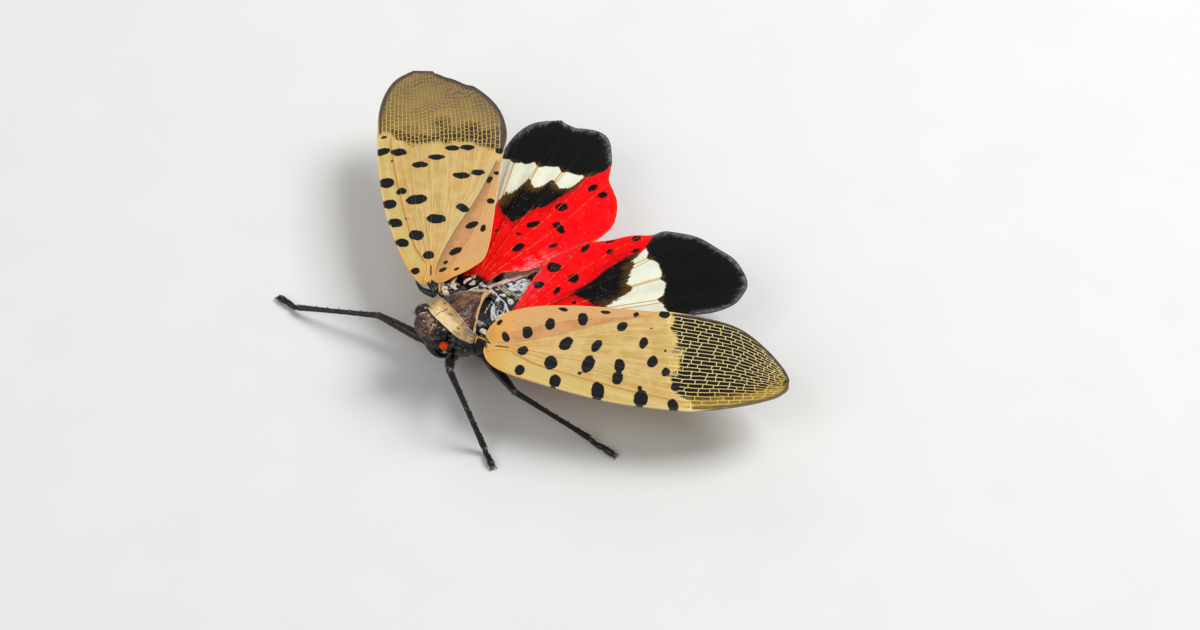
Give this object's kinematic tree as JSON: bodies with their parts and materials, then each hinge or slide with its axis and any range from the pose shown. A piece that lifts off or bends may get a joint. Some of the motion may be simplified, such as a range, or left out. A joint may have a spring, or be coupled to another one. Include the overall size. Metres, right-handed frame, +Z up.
{
  "type": "spotted lanternfly",
  "caption": "Life-size still model of a spotted lanternfly standing with its spotted forewings and red hindwings spread.",
  "frame": {"origin": "on the floor under the middle of the spread insect's box", "axes": "head toward -Y, the insect's left side toward +X, +Z up"},
  "size_m": [0.0402, 0.0266, 0.0068],
  "materials": {
    "shell": "glossy black cuticle with silvery hairs and wax",
    "abdomen": "black plates dusted with pale wax, pinkish membranes between",
    "head": "mottled tan and dark brown cuticle",
    "pronotum": "beige cuticle with grey sides and dark dimples",
    "mesonotum": "dark reddish brown cuticle with tan margins",
    "eye": "dark grey faceted dome",
    "antenna": "granular red-orange bulb",
    "forewing": "leathery tan wing with black spots and a netted tip",
    "hindwing": "red membrane with black spots, a white band and a black tip",
    "leg": "black cuticle with fine pale hairs"
  },
  "bodies": {
    "root": {"abdomen": "abdomen", "abdomen_tip": "shell", "antenna_left": "antenna", "antenna_right": "antenna", "beak": "shell", "coxa_front_left": "leg", "coxa_front_right": "leg", "coxa_hind_left": "leg", "coxa_hind_right": "leg", "coxa_middle_left": "leg", "coxa_middle_right": "leg", "eye_left": "eye", "eye_right": "eye", "femur_front_left": "leg", "femur_front_right": "leg", "femur_hind_left": "leg", "femur_hind_right": "leg", "femur_middle_left": "leg", "femur_middle_right": "leg", "forewing_left": "forewing", "forewing_right": "forewing", "forewing_root_left": "shell", "forewing_root_right": "shell", "head": "head", "hindwing_left": "hindwing", "hindwing_right": "hindwing", "mesonotum": "mesonotum", "mesothorax": "shell", "metanotum": "abdomen", "metathorax": "shell", "pronotum": "pronotum", "prothorax": "shell", "tarsus_front_left": "leg", "tarsus_front_right": "leg", "tarsus_hind_left": "leg", "tarsus_hind_right": "leg", "tarsus_middle_left": "leg", "tarsus_middle_right": "leg", "tibia_front_left": "leg", "tibia_front_right": "leg", "tibia_hind_left": "leg", "tibia_hind_right": "leg", "tibia_middle_left": "leg", "tibia_middle_right": "leg"}
  },
  "joints": []
}
